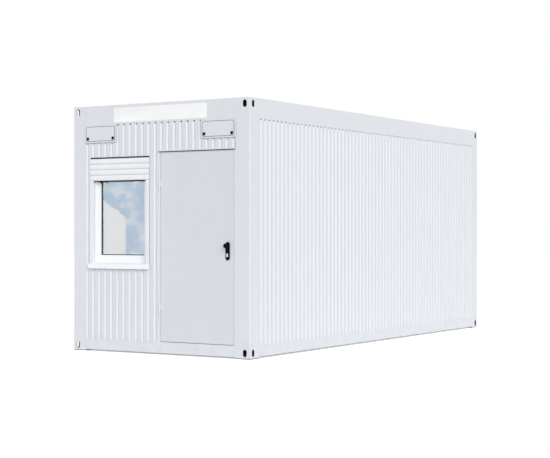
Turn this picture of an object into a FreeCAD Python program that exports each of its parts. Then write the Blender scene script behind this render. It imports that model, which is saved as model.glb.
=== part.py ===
import FreeCAD, Part
import math
import os
from types import SimpleNamespace

import Sketcher
from FreeCAD import Placement, Rotation, Vector

# A 20-foot sanitary cabin of cold-rolled steel: a frame of posts, rails and corner castings, with
# grooved wall panels, an outward-opening door, a window with a roller shutter and two service hatches.
# X runs to the right along the front, Y from the front to the back, Z up from the ground.
# The origin is the middle of the footprint. "Left" and "right" are as seen from the front.

SIZES = {
    # Whole cabin, over the frame
    "cabin_width": 2435,
    "cabin_length": 6055,
    "cabin_height": 2820,
    # Frame: posts, castings and rails share their outer faces with the walls
    "post_width": 186,
    "frame_steel": 4,
    "corner_radius": 10,
    "casting_height": 140,
    "casting_wall": 10,
    "slot_width": 50,
    "slot_height": 80,
    "slot_inset": 66,
    "slot_level": 65,
    "rail_lift": 12,
    "top_rail_height": 220,
    "rim_width": 45,
    "gutter_drop": 45,
    # Panels
    "wall_depth": 95,
    "groove_width": 34,
    "groove_floor": 8,
    "groove_depth": 12,
    "end_pitch": 88,
    "side_pitch": 87.6,
    "floor_depth": 110,
    # Roof sheet with standing seams across the cabin
    "roof_steel": 2,
    "seam_height": 24,
    "seam_width": 8,
    "seam_pitch": 610,
    # Doorway: its frame ends at the right post, and a short panel fills the wall above it
    "doorway_width": 984,
    "left_jamb": 55,
    "right_jamb": 18,
    "panel_over_door": 320,
    "door_frame_head": 13,
    "threshold": 4,
    "stop_width": 12,
    "door_gap": 5,
    "door_depth": 40,
    "door_edge_radius": 2,
    # Door hinges: an upper knuckle on the leaf turns on the pin of a lower one on the frame
    "hinge_inset": 6,
    "hinge_reach": 10,
    "knuckle_radius": 8.5,
    "knuckle_height": 97,
    "pin_radius": 5,
    "pin_play": 0.05,
    "washer_gap": 0.3,
    "weld_foot": 14,
    "foot_step": 1,
    "face_gap": 1.5,
    "low_hinge_rise": 356,
    "high_hinge_drop": 374,
    # Lock: plates on both faces, a fixed knob outside, a lever inside
    "lock_backset": 74,
    "lock_level": 1164,
    "plate_width": 50,
    "plate_height": 198,
    "plate_depth": 10,
    "cylinder_drop": 45,
    "cylinder_width": 19,
    "cylinder_height": 40,
    "cylinder_proud": 6,
    "cylinder_play": 0.3,
    "spindle_rise": 58,
    "neck_radius": 11,
    "knob_radius": 25,
    "knob_depth": 24,
    "knob_reach": 52,
    "knob_bevel": 6,
    "lever_length": 125,
    "lever_radius": 9,
    "lever_reach": 45,
    # Drip rail over the door
    "drip_overlap": 26,
    "drip_reach": 12,
    "drip_height": 12,
    "drip_steel": 2,
    # Window opening between the left post and the door frame, from the ground to the top rail
    "window_left_margin": 76,
    "window_right_margin": 110,
    "window_bottom": 1006,
    "window_drop": 399,
    "frame_drop": 136,
    "frame_recess": 45,
    "frame_ring": 56,
    "frame_lip": 7,
    "sash_lap": 9,
    "sash_seat": 0.3,
    "sash_gap": 3,
    "sash_ring": 53,
    "glass_recess": 72,
    "glass_depth": 20,
    # Roller shutter box, its guides and the sill
    "cover_height": 253,
    "cover_lap": 10,
    "cover_base": 5,
    "cover_bulge": 8,
    "guide_width": 42,
    "guide_reach": 13,
    "guide_slot": 10,
    "guide_slot_depth": 22,
    "guide_slot_inset": 12,
    "sill_reach": 28,
    "sill_overhang": 31,
    "sill_lip": 55,
    "sill_rise": 14,
    "sill_steel": 3,
    # Service hatches under the top rail
    "hatch_margin": 176,
    "hatch_width": 455,
    "hatch_height": 205,
    "hatch_reach": 12,
    "hatch_corner": 28,
    "flap_width": 413,
    "flap_height": 162,
    "flap_gap": 3,
    "flap_reach": 14,
    "flap_depth": 6,
    "flap_corner": 16,
    "latch_width": 28,
    "latch_height": 31,
    "latch_depth": 7,
    "latch_inset": 25,
    "latch_level": 27,
}

COVER_BANDS = 4

# Two points nearer than this are the same point
SAME_POINT = 1e-6


class Length:
    """A number together with the spreadsheet expression that gives it."""

    def __init__(self, number, text):
        self.number = float(number)
        self.text = text

    @staticmethod
    def of(value):
        """Turns a plain number into a Length and leaves a Length as it is."""
        return value if isinstance(value, Length) else Length(value, repr(float(value)))

    def __add__(self, other):
        other = Length.of(other)
        return Length(self.number + other.number, f"({self.text} + {other.text})")

    def __sub__(self, other):
        other = Length.of(other)
        return Length(self.number - other.number, f"({self.text} - {other.text})")

    def __mul__(self, other):
        other = Length.of(other)
        return Length(self.number * other.number, f"{self.text} * {other.text}")

    def __truediv__(self, other):
        other = Length.of(other)
        return Length(self.number / other.number, f"{self.text} / ({other.text})")

    def __neg__(self):
        return Length(-self.number, f"(0 - {self.text})")

    __radd__ = __add__
    __rmul__ = __mul__

    def whole(self):
        """The length rounded down to a whole number."""
        return Length(math.floor(self.number), f"floor({self.text})")


doc = FreeCAD.newDocument("sanitary_container")
sheet = doc.addObject("Spreadsheet::Sheet", "Sizes")
for row, (name, number) in enumerate(SIZES.items(), start=1):
    sheet.set(f"A{row}", name)
    sheet.set(f"B{row}", str(number))
    sheet.setAlias(f"B{row}", name)
doc.recompute()
size = SimpleNamespace(**{name: Length(sheet.get(name), f"Sizes.{name}") for name in SIZES})

nodes = {}

# Helpers that bind a feature or a sketch to the sheet


def bind(item, place, value):
    """Drives a property, or a part of one, with a length."""
    value = Length.of(value)
    item.setExpression(place, value.text)


def new_body(label, x=0, y=0, z=0, turn=0, keep=True):
    """An empty body whose own frame stands at x, y, z and is turned about the upright axis."""
    body = doc.addObject("PartDesign::Body", label)
    body.Label = label
    body.Placement = Placement(Vector(0, 0, 0), Rotation(Vector(0, 0, 1), turn))
    for axis, value in zip("xyz", (x, y, z)):
        bind(body, f"Placement.Base.{axis}", value)
    if keep:
        nodes[label] = body
    return body


def origin_feature(body, role):
    """The body's own origin plane or axis with this role."""
    return next(item for item in body.Origin.OriginFeatures if item.Role == role)


def sketch_on(body, role, offset=0):
    """A sketch on an origin plane of the body, moved along that plane's normal."""
    sketch = body.newObject("Sketcher::SketchObject", "Outline")
    sketch.AttachmentSupport = (origin_feature(body, role), [""])
    sketch.MapMode = "FlatFace"
    bind(sketch, "AttachmentOffset.Base.z", offset)
    return sketch


def fix(sketch, kind, value, *points):
    """Adds a dimension to the sketch and drives it with a length."""
    value = Length.of(value)
    index = sketch.addConstraint(Sketcher.Constraint(kind, *points, value.number))
    bind(sketch, f"Constraints[{index}]", value)


def fix_point(sketch, item, end, x, y):
    """Fixes a point of the sketch at x and y from the sketch's origin."""
    fix(sketch, "DistanceX", x, -1, 1, item, end)
    fix(sketch, "DistanceY", y, -1, 1, item, end)


def step(start, end):
    """The direction, -1, 0 or 1 along each axis, of a side from start to end."""
    moves = [Length.of(b).number - Length.of(a).number for a, b in zip(start[:2], end[:2])]
    return [0 if abs(move) < SAME_POINT else int(math.copysign(1, move)) for move in moves]


def flat(point):
    """The point's place in the sketch as a plain vector."""
    return Vector(point[0].number, point[1].number)


def outline(sketch, corners):
    """A closed outline. A corner given as (x, y, radius) is rounded, and its sides run along the axes."""
    count = len(corners)
    entries, exits, centres = [], [], []
    for index, corner in enumerate(corners):
        x, y = (Length.of(value) for value in corner[:2])
        if len(corner) == 2:
            entries.append((x, y))
            exits.append((x, y))
            centres.append(None)
            continue
        radius = corner[2]
        before = step(corners[index - 1], corner)
        after = step(corner, corners[(index + 1) % count])
        entries.append((x - radius * before[0], y - radius * before[1]))
        exits.append((x + radius * after[0], y + radius * after[1]))
        centres.append((x + radius * (after[0] - before[0]), y + radius * (after[1] - before[1])))
    sides = []
    for index in range(count):
        line = Part.LineSegment(flat(exits[index]), flat(entries[(index + 1) % count]))
        sides.append(sketch.addGeometry(line))
    for index, corner in enumerate(corners):
        side_in, side_out = sides[index - 1], sides[index]
        if centres[index] is None:
            sketch.addConstraint(Sketcher.Constraint("Coincident", side_in, 2, side_out, 1))
            fix_point(sketch, side_out, 1, *exits[index])
            continue
        round_corner(sketch, side_in, side_out, entries[index], exits[index], centres[index], corner[2])


def round_corner(sketch, side_in, side_out, entry, leave, centre, radius):
    """Joins two sides along the axes with a quarter circle about the centre."""
    start, end, middle = flat(entry), flat(leave), flat(centre)
    outward = ((start + end) * 0.5 - middle).normalize() * radius.number
    curve = Part.Arc(start, middle + outward, end)
    arc = sketch.addGeometry(curve)
    forward = sketch.getPoint(arc, 1).distanceToPoint(start) < SAME_POINT
    first, last = (1, 2) if forward else (2, 1)
    sketch.addConstraint(Sketcher.Constraint("Coincident", side_in, 2, arc, first))
    sketch.addConstraint(Sketcher.Constraint("Coincident", side_out, 1, arc, last))
    for end_point, point in ((first, start), (last, end)):
        level = abs(point.y - middle.y) < SAME_POINT
        kind = "Horizontal" if level else "Vertical"
        sketch.addConstraint(Sketcher.Constraint(kind, arc, end_point, arc, 3))
    fix_point(sketch, arc, 3, *centre)
    fix(sketch, "Radius", radius, arc)


def rectangle(sketch, x, y, width, height, radius=None):
    """A rectangle from its lowest corner, with all corners rounded where a radius is given."""
    corners = [(x, y), (x + width, y), (x + width, y + height), (x, y + height)]
    outline(sketch, corners if radius is None else [corner + (radius,) for corner in corners])


def slot(sketch, x, y, width, height):
    """An upright slot with half-round ends, centred at x and y."""
    x, y = Length.of(x), Length.of(y)
    radius = width / 2
    reach = (height - width) / 2
    sides = []
    for way in (1, -1):
        across = x.number + way * radius.number
        low = Vector(across, y.number - way * reach.number)
        high = Vector(across, y.number + way * reach.number)
        sides.append(sketch.addGeometry(Part.LineSegment(low, high)))
    for index, way in enumerate((1, -1)):
        level = y + reach * way
        circle = Part.Circle(Vector(x.number, level.number), Vector(0, 0, 1), radius.number)
        turn = 0 if way == 1 else math.pi
        arc = sketch.addGeometry(Part.ArcOfCircle(circle, turn, turn + math.pi))
        sketch.addConstraint(Sketcher.Constraint("Coincident", sides[index], 2, arc, 1))
        sketch.addConstraint(Sketcher.Constraint("Coincident", sides[1 - index], 1, arc, 2))
        sketch.addConstraint(Sketcher.Constraint("Horizontal", arc, 1, arc, 3))
        sketch.addConstraint(Sketcher.Constraint("Horizontal", arc, 2, arc, 3))
        fix_point(sketch, arc, 3, x, level)
        fix(sketch, "Radius", radius, arc)


def circle(sketch, x, y, radius):
    """A full circle about x and y."""
    x, y = Length.of(x), Length.of(y)
    item = sketch.addGeometry(Part.Circle(Vector(x.number, y.number), Vector(0, 0, 1), radius.number))
    fix_point(sketch, item, 3, x, y)
    fix(sketch, "Radius", radius, item)


def extrude(kind, body, sketch, depth, reverse):
    """A Pad or a Pocket of the sketch."""
    feature = body.newObject(f"PartDesign::{kind}", kind)
    feature.Profile = sketch
    bind(feature, "Length", depth)
    feature.Reversed = reverse
    sketch.Visibility = False
    return feature


def pad(body, sketch, depth, reverse=False):
    """Adds the sketch's outline along its plane's normal, or against it."""
    return extrude("Pad", body, sketch, depth, reverse)


def pocket(body, sketch, depth, reverse=False):
    """Cuts the sketch's outline against its plane's normal, or along it."""
    return extrude("Pocket", body, sketch, depth, reverse)


def group(label, bodies):
    """Like pieces that share a node and don't touch."""
    compound = doc.addObject("Part::Compound", label)
    compound.Label = label
    compound.Links = bodies
    nodes[label] = compound


# Planes that several pieces share

left = -size.cabin_width / 2
right = size.cabin_width / 2
front = -size.cabin_length / 2
back = size.cabin_length / 2
floor_level = size.casting_height
ceiling_level = size.cabin_height - size.casting_height
rail_level = size.cabin_height - size.top_rail_height
roof_level = size.cabin_height - size.gutter_drop
end_span = size.cabin_width - size.post_width * 2
side_span = size.cabin_length - size.post_width * 2

door_frame_width = size.left_jamb + size.doorway_width + size.right_jamb
door_frame_left = right - size.post_width - door_frame_width
door_frame_top = rail_level - size.panel_over_door
doorway_left = door_frame_left + size.left_jamb
doorway_bottom = floor_level + size.threshold
doorway_top = door_frame_top - size.door_frame_head

window_left = left + size.post_width + size.window_left_margin
window_width = door_frame_left - size.window_right_margin - window_left
window_top = rail_level - size.window_drop
window_frame_height = window_top - size.frame_drop - size.window_bottom

# Each side's left end, from outside, with the turn that brings the front side there.
# The corners carry the posts and castings, and the sides start one post further along.
CORNERS = {
    "front_left": (left, front, 0),
    "front_right": (right, front, 90),
    "back_right": (right, back, 180),
    "back_left": (left, back, 270),
}
SIDES = {
    "front": (left + size.post_width, front, 0, end_span),
    "right": (right, front + size.post_width, 90, side_span),
    "back": (right - size.post_width, back, 180, end_span),
    "left": (left, back - size.post_width, 270, side_span),
}


def corner_casting(label, corner, level, slot_level, hole_at_top):
    """A welded box with slots in both outer faces and in the top or bottom, for hooks and locks."""
    x, y, turn = corner
    body = new_body(label, x, y, level, turn)
    inner = size.post_width - size.casting_wall * 2
    plan = sketch_on(body, "XY_Plane")
    outline(plan, [(0, 0, size.corner_radius), (size.post_width, 0), (size.post_width, size.post_width),
                   (0, size.post_width)])
    pad(body, plan, size.casting_height)
    cavity = sketch_on(body, "XY_Plane", size.casting_wall)
    rectangle(cavity, size.casting_wall, size.casting_wall, inner, inner)
    pocket(body, cavity, size.casting_height - size.casting_wall * 2, reverse=True)
    end_slot = sketch_on(body, "XZ_Plane")
    slot(end_slot, size.slot_inset, slot_level, size.slot_width, size.slot_height)
    pocket(body, end_slot, size.casting_wall * 2)
    side_slot = sketch_on(body, "YZ_Plane")
    slot(side_slot, size.slot_inset, slot_level, size.slot_width, size.slot_height)
    pocket(body, side_slot, size.casting_wall * 2, reverse=True)
    lock_hole = sketch_on(body, "XY_Plane", size.casting_height if hole_at_top else 0)
    slot(lock_hole, size.post_width / 2, size.post_width / 2, size.slot_width, size.slot_height)
    pocket(body, lock_hole, size.casting_wall * 2, reverse=not hole_at_top)


def corner_post(label, corner):
    """A closed L-shaped tube whose legs are as deep as the walls that meet them."""
    x, y, turn = corner
    body = new_body(label, x, y, floor_level, turn)
    leg, depth, steel = size.post_width, size.wall_depth, size.frame_steel
    plan = sketch_on(body, "XY_Plane")
    outline(plan, [(0, 0, size.corner_radius), (leg, 0), (leg, depth),
                   (depth, depth), (depth, leg), (0, leg)])
    outline(plan, [(steel, steel), (leg - steel, steel), (leg - steel, depth - steel),
                   (depth - steel, depth - steel), (depth - steel, leg - steel), (steel, leg - steel)])
    pad(body, plan, ceiling_level - floor_level)


def bottom_rail(label, side):
    """A box section between two castings, a little clear of the ground."""
    x, y, turn, span = side
    body = new_body(label, x, y, size.rail_lift, turn)
    height, depth, steel = floor_level - size.rail_lift, size.wall_depth, size.frame_steel
    section = sketch_on(body, "YZ_Plane")
    rectangle(section, 0, 0, depth, height)
    rectangle(section, steel, steel, depth - steel * 2, height - steel * 2)
    pad(body, section, span)


def top_rail(label, side):
    """A box section with a raised rim outside and a ledge inside that carries the roof sheet."""
    x, y, turn, span = side
    body = new_body(label, x, y, rail_level, turn)
    height, depth, steel = size.top_rail_height, size.wall_depth, size.frame_steel
    ledge = height - size.gutter_drop
    rim = size.rim_width
    section = sketch_on(body, "YZ_Plane")
    outline(section, [(0, 0), (depth, 0), (depth, ledge), (rim, ledge), (rim, height), (0, height)])
    outline(section, [(steel, steel), (depth - steel, steel), (depth - steel, ledge - steel),
                      (rim - steel, ledge - steel), (rim - steel, height - steel), (steel, height - steel)])
    pad(body, section, span)


def groove_row(span, pitch):
    """How many grooves fit between two posts, and where the first one's middle is."""
    count = ((span - size.groove_width) / pitch).whole() + 1
    return count, (span - (count - 1) * pitch) / 2


def grooved_panel(label, x, y, turn, bottom, top, span, first, pitch, count):
    """A sandwich panel whose outer sheet has upright grooves of tapered section."""
    body = new_body(label, x, y, bottom, turn)
    plan = sketch_on(body, "XY_Plane")
    rectangle(plan, 0, 0, span, size.wall_depth)
    pad(body, plan, top - bottom)
    section = sketch_on(body, "XY_Plane")
    mouth, floor = size.groove_width / 2, size.groove_floor / 2
    outline(section, [(first - mouth, 0), (first + mouth, 0), (first + floor, size.groove_depth),
                      (first - floor, size.groove_depth)])
    groove = pocket(body, section, top - bottom, reverse=True)
    row = body.newObject("PartDesign::LinearPattern", "GrooveRow")
    row.Originals = [groove]
    row.Direction = (origin_feature(body, "X_Axis"), [""])
    bind(row, "Length", (count - 1) * pitch)
    bind(row, "Occurrences", count)
    body.Tip = row
    return body


def plain_wall(label, side, pitch):
    """A wall without openings, from post to post."""
    x, y, turn, span = side
    count, first = groove_row(span, pitch)
    grooved_panel(label, x, y, turn, floor_level, rail_level, span, first, pitch, count)


def front_wall():
    """The panel with the window, and the short panel over the door, with one row of grooves."""
    x, y, turn, span = SIDES["front"]
    pitch = size.end_pitch
    count, first = groove_row(span, pitch)
    width = span - door_frame_width
    beside = ((width - first - size.groove_width / 2) / pitch).whole() + 1
    body = grooved_panel("front_wall", x, y, turn, floor_level, rail_level, width, first, pitch, beside)
    opening = sketch_on(body, "XZ_Plane")
    rectangle(opening, window_left - x, size.window_bottom - floor_level,
              window_width, window_top - size.window_bottom)
    pocket(body, opening, size.wall_depth)
    grooved_panel("front_wall_over_door", door_frame_left, y, turn, door_frame_top, rail_level,
                  door_frame_width, first + beside * pitch - width, pitch, count - beside)


def notched_plan(sketch, inset):
    """The cabin's plan, inset from its faces, with its corners cut away round the castings."""
    corner = size.post_width
    low_x, high_x = left + inset, right - inset
    low_y, high_y = front + inset, back - inset
    outline(sketch, [(left + corner, low_y), (right - corner, low_y), (right - corner, front + corner),
                     (high_x, front + corner), (high_x, back - corner), (right - corner, back - corner),
                     (right - corner, high_y), (left + corner, high_y), (left + corner, back - corner),
                     (low_x, back - corner), (low_x, front + corner), (left + corner, front + corner)])


def slab(label, bottom, top, inset):
    """A level panel between the rails."""
    body = new_body(label, z=bottom)
    plan = sketch_on(body, "XY_Plane")
    notched_plan(plan, inset)
    pad(body, plan, top - bottom)
    return body


def roof():
    """A steel sheet on the rails' ledges, with standing seams across, and a flat strip at each end."""
    inset, corner = size.rim_width, size.post_width
    body = new_body("roof_sheet", left + inset, front + corner, roof_level)
    plan = sketch_on(body, "XY_Plane")
    rectangle(plan, 0, 0, size.cabin_width - inset * 2, side_span)
    pad(body, plan, size.roof_steel)
    count = ((side_span - size.seam_width) / size.seam_pitch).whole()
    first = (side_span - (count - 1) * size.seam_pitch - size.seam_width) / 2
    seam = sketch_on(body, "XY_Plane", size.roof_steel)
    rectangle(seam, 0, first, size.cabin_width - inset * 2, size.seam_width)
    rib = pad(body, seam, size.seam_height - size.roof_steel)
    row = body.newObject("PartDesign::LinearPattern", "SeamRow")
    row.Originals = [rib]
    row.Direction = (origin_feature(body, "Y_Axis"), [""])
    bind(row, "Length", (count - 1) * size.seam_pitch)
    bind(row, "Occurrences", count)
    body.Tip = row
    for name, start in (("front", front + inset), ("back", back - corner)):
        strip = new_body(f"roof_end_{name}", left + corner, start, roof_level)
        plan = sketch_on(strip, "XY_Plane")
        rectangle(plan, 0, 0, end_span, corner - inset)
        pad(strip, plan, size.roof_steel)


# Door

leaf_left = doorway_left + size.door_gap
leaf_bottom = doorway_bottom + size.door_gap
leaf_width = size.doorway_width - size.door_gap * 2
leaf_height = doorway_top - doorway_bottom - size.door_gap * 2
hinge_x = doorway_left - size.hinge_inset
hinge_y = front - size.hinge_reach
lock_x = leaf_left + leaf_width - size.lock_backset
cylinder_hole = (size.cylinder_width + size.cylinder_play * 2,
                 size.cylinder_height + size.cylinder_play * 2)


def door_frame():
    """A ring round the doorway, with a stop behind the leaf on all four sides."""
    body = new_body("door_frame", door_frame_left, front, floor_level)
    jamb, sill, width, lip = size.left_jamb, size.threshold, size.doorway_width, size.stop_width
    height = doorway_top - doorway_bottom
    ring = sketch_on(body, "XZ_Plane")
    rectangle(ring, 0, 0, door_frame_width, door_frame_top - floor_level)
    rectangle(ring, jamb, sill, width, height)
    pad(body, ring, size.wall_depth, reverse=True)
    behind = size.door_depth + size.door_gap
    stop = sketch_on(body, "XZ_Plane", -behind)
    rectangle(stop, jamb, sill, width, height)
    rectangle(stop, jamb + lip, sill + lip, width - lip * 2, height - lip * 2)
    pad(body, stop, size.wall_depth - behind, reverse=True)


def door_leaf():
    """The leaf, flush with the wall, with softened edges and a hole for the lock cylinder."""
    body = new_body("door_leaf", leaf_left, front, leaf_bottom)
    face = sketch_on(body, "XZ_Plane")
    rectangle(face, 0, 0, leaf_width, leaf_height)
    pad(body, face, size.door_depth, reverse=True)
    hole = sketch_on(body, "XZ_Plane")
    slot(hole, lock_x - leaf_left, size.lock_level - size.cylinder_drop - leaf_bottom, *cylinder_hole)
    bored = pocket(body, hole, size.door_depth)
    doc.recompute()
    rim = [f"Edge{index}" for index, edge in enumerate(bored.Shape.Edges, start=1) if is_front_rim(edge)]
    softened = body.newObject("PartDesign::Fillet", "SoftEdges")
    softened.Base = (bored, rim)
    bind(softened, "Radius", size.door_edge_radius)
    body.Tip = softened


def is_front_rim(edge):
    """Whether an edge of the leaf, in the leaf's own frame, joins two corners of its outer face."""
    corners = [Vector(x, 0, z) for x in (0, leaf_width.number) for z in (0, leaf_height.number)]
    return all(any(vertex.Point.distanceToPoint(corner) < SAME_POINT for corner in corners)
               for vertex in edge.Vertexes)


def hinge_half(label, level, upper):
    """One knuckle of a hinge with its weld foot. The lower one is on the frame and carries the pin."""
    half = size.knuckle_height / 2
    start = level + (size.washer_gap if upper else -half)
    height = half - size.washer_gap if upper else half
    body = new_body(label, hinge_x, hinge_y, start, keep=False)
    barrel = sketch_on(body, "XY_Plane")
    circle(barrel, 0, 0, size.knuckle_radius)
    pad(body, barrel, height)
    foot = sketch_on(body, "XY_Plane")
    reach = size.hinge_reach
    if upper:
        near = size.hinge_inset + size.door_gap + size.foot_step
        far = near + size.weld_foot
        outline(foot, [(0, size.pin_radius), (far, size.pin_radius), (far, reach), (near, reach),
                       (near, reach - size.face_gap), (0, reach - size.face_gap)])
    else:
        outline(foot, [(0, reach - size.pin_radius), (0, reach), (-size.weld_foot, reach),
                       (-size.weld_foot, reach - size.pin_radius)])
    pad(body, foot, height)
    if upper:
        bore = sketch_on(body, "XY_Plane")
        circle(bore, 0, 0, size.pin_radius + size.pin_play)
        pocket(body, bore, height, reverse=True)
    else:
        pin = sketch_on(body, "XY_Plane")
        circle(pin, 0, 0, size.pin_radius)
        pad(body, pin, size.knuckle_height - size.washer_gap)
    return body


def hinges():
    """Two hinges, each a lower half on the frame and an upper half on the leaf."""
    pins, knuckles = [], []
    levels = {
        "low": leaf_bottom + size.low_hinge_rise,
        "high": leaf_bottom + leaf_height - size.high_hinge_drop,
    }
    for name, level in levels.items():
        pins.append(hinge_half(f"hinge_pin_{name}", level, False))
        knuckles.append(hinge_half(f"hinge_knuckle_{name}", level, True))
    group("hinge_pins", pins)
    group("hinge_knuckles", knuckles)


def lock_plate(label, turn, y):
    """A long plate with rounded ends, against one face of the leaf, that the cylinder goes through."""
    body = new_body(label, lock_x, y, size.lock_level, turn)
    face = sketch_on(body, "XZ_Plane")
    slot(face, 0, 0, size.plate_width, size.plate_height)
    slot(face, 0, -size.cylinder_drop, *cylinder_hole)
    pad(body, face, size.plate_depth)
    return body


def lock():
    """Plates on both faces, the cylinder through them, the fixed knob outside and the lever inside."""
    inner_face = front + size.door_depth
    lock_plate("lock_plate", 0, front)
    inside = lock_plate("inside_handle", 180, inner_face)
    rise = size.spindle_rise
    neck = sketch_on(inside, "XZ_Plane", size.plate_depth)
    circle(neck, 0, rise, size.lever_radius)
    pad(inside, neck, size.lever_reach)
    lever = sketch_on(inside, "YZ_Plane")
    circle(lever, -size.plate_depth - size.lever_reach, rise, size.lever_radius)
    pad(inside, lever, size.lever_length)
    body = new_body("lock_cylinder", lock_x, front, size.lock_level - size.cylinder_drop)
    proud = size.plate_depth + size.cylinder_proud
    face = sketch_on(body, "XZ_Plane", proud)
    slot(face, 0, 0, size.cylinder_width, size.cylinder_height)
    pad(body, face, size.door_depth + proud * 2, reverse=True)
    knob = new_body("door_knob", lock_x, front - size.plate_depth, size.lock_level + rise)
    half = sketch_on(knob, "XY_Plane")
    end, bevel = -size.knob_reach, size.knob_bevel
    outline(half, [(0, 0), (0, end), (size.knob_radius - bevel, end), (size.knob_radius, end + bevel),
                   (size.knob_radius, end + size.knob_depth), (size.neck_radius, end + size.knob_depth),
                   (size.neck_radius, 0)])
    turned = knob.newObject("PartDesign::Revolution", "Turned")
    turned.Profile = half
    turned.ReferenceAxis = (half, ["V_Axis"])
    turned.Angle = 360


def drip_rail():
    """A folded strip over the door that sheds water past the leaf."""
    body = new_body("drip_rail", doorway_left - size.drip_overlap, front, doorway_top)
    section = sketch_on(body, "YZ_Plane")
    reach, steel, height = size.drip_reach, size.drip_steel, size.drip_height
    outline(section, [(-reach, 0), (-reach + steel, 0), (-reach + steel, height - steel * 2),
                      (0, height - steel), (0, height), (-reach, height - steel)])
    pad(body, section, size.drip_overlap + size.doorway_width + size.right_jamb)


# Window


def window_ring(body, inset, ring, recess, depth):
    """Adds a rectangular ring, inset from the window opening and set back from the wall's face."""
    width = window_width - inset * 2
    height = window_frame_height - inset * 2
    face = sketch_on(body, "XZ_Plane", -recess)
    rectangle(face, inset, inset, width, height)
    rectangle(face, inset + ring, inset + ring, width - ring * 2, height - ring * 2)
    pad(body, face, depth, reverse=True)


def window():
    """The fixed frame, the sash seated behind its lip and the pane inside the sash."""
    place = (window_left, front, size.window_bottom)
    frame = new_body("window_frame", *place)
    sash_inset = size.frame_ring - size.sash_lap
    lip_back = size.frame_recess + size.frame_lip
    none = Length.of(0)
    window_ring(frame, none, size.frame_ring, size.frame_recess, size.frame_lip)
    window_ring(frame, none, sash_inset - size.sash_gap, lip_back, size.wall_depth - lip_back)
    sash = new_body("window_sash", *place)
    sash_face = lip_back + size.sash_seat
    window_ring(sash, sash_inset, size.sash_ring, sash_face, size.wall_depth - sash_face)
    pane = new_body("window_glass", *place)
    inset = sash_inset + size.sash_ring
    face = sketch_on(pane, "XZ_Plane", -size.glass_recess)
    rectangle(face, inset, inset, window_width - inset * 2, window_frame_height - inset * 2)
    pad(pane, face, size.glass_depth, reverse=True)


box_bottom = window_top + size.cover_lap - size.cover_height


def shutter_box():
    """The cover with its rounded bands outside the wall, and the box behind it over the window frame."""
    body = new_body("shutter_box", window_left, front, box_bottom)
    band = size.cover_height / COVER_BANDS
    bulge = size.cover_bulge
    radius = (band * band / 4 + bulge * bulge) / (bulge * 2)
    cover = sketch_on(body, "YZ_Plane", -size.cover_lap)
    outline_bands(cover, band, radius, -size.cover_base, size.cover_height)
    pad(body, cover, window_width + size.cover_lap * 2)
    core = sketch_on(body, "YZ_Plane")
    top = window_top - box_bottom
    head = top - size.frame_drop
    outline(core, [(0, 0), (size.frame_recess, 0), (size.frame_recess, head), (size.wall_depth, head),
                   (size.wall_depth, top), (0, top)])
    pad(body, core, window_width)


def outline_bands(sketch, band, radius, face, top):
    """A strip against the wall whose outer side is a row of shallow arcs."""
    back_line = Part.LineSegment(Vector(0, 0), Vector(0, top.number))
    bottom_line = Part.LineSegment(Vector(0, 0), Vector(face.number, 0))
    top_line = Part.LineSegment(Vector(0, top.number), Vector(face.number, top.number))
    rear = sketch.addGeometry(back_line)
    foot = sketch.addGeometry(bottom_line)
    head = sketch.addGeometry(top_line)
    sketch.addConstraint(Sketcher.Constraint("Coincident", rear, 1, foot, 1))
    sketch.addConstraint(Sketcher.Constraint("Coincident", rear, 2, head, 1))
    fix_point(sketch, rear, 1, 0, 0)
    fix_point(sketch, rear, 2, 0, top)
    fix_point(sketch, foot, 2, face, 0)
    fix_point(sketch, head, 2, face, top)
    below = foot
    for index in range(COVER_BANDS):
        low = Vector(face.number, band.number * index)
        high = Vector(face.number, band.number * (index + 1))
        middle = Vector(face.number - size.cover_bulge.number, band.number * (index + 0.5))
        arc = sketch.addGeometry(Part.Arc(low, middle, high))
        forward = sketch.getPoint(arc, 1).distanceToPoint(low) < SAME_POINT
        first, last = (1, 2) if forward else (2, 1)
        if index == 0:
            sketch.addConstraint(Sketcher.Constraint("Coincident", foot, 2, arc, first))
        else:
            sketch.addConstraint(Sketcher.Constraint("Coincident", below, below_end, arc, first))
            fix_point(sketch, arc, first, face, band * index)
        if index == COVER_BANDS - 1:
            sketch.addConstraint(Sketcher.Constraint("Coincident", head, 2, arc, last))
        fix(sketch, "Radius", radius, arc)
        below, below_end = arc, last


def shutter_guides():
    """An upright channel on each side of the window, from the sloping sill to the shutter box."""
    lap, reach, depth = size.cover_lap, size.guide_reach, size.frame_recess
    inner = size.guide_width - lap
    slot_far, slot_near = size.guide_slot_inset + size.guide_slot, size.guide_slot_inset
    slope = size.sill_rise / (size.sill_reach + depth)
    bodies = []
    for name, x, way in (("left", window_left, 1), ("right", window_left + window_width, -1)):
        body = new_body(f"shutter_guide_{name}", x, front, size.window_bottom, keep=False)
        plan = sketch_on(body, "XY_Plane")
        section = [(-lap, -reach), (inner, -reach), (inner, slot_near),
                   (inner - size.guide_slot_depth, slot_near), (inner - size.guide_slot_depth, slot_far),
                   (inner, slot_far), (inner, depth), (0, depth), (0, 0), (-lap, 0)]
        outline(plan, [(Length.of(x) * way, y) for x, y in section])
        pad(body, plan, box_bottom - size.window_bottom)
        foot = sketch_on(body, "YZ_Plane", size.guide_width * -way)
        outline(foot, [(-reach, 0), (depth, 0), (depth, size.sill_rise),
                       (-reach, (size.sill_reach - reach) * slope)])
        pocket(body, foot, size.guide_width * 2, reverse=way == 1)
        bodies.append(body)
    group("shutter_guides", bodies)


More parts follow.
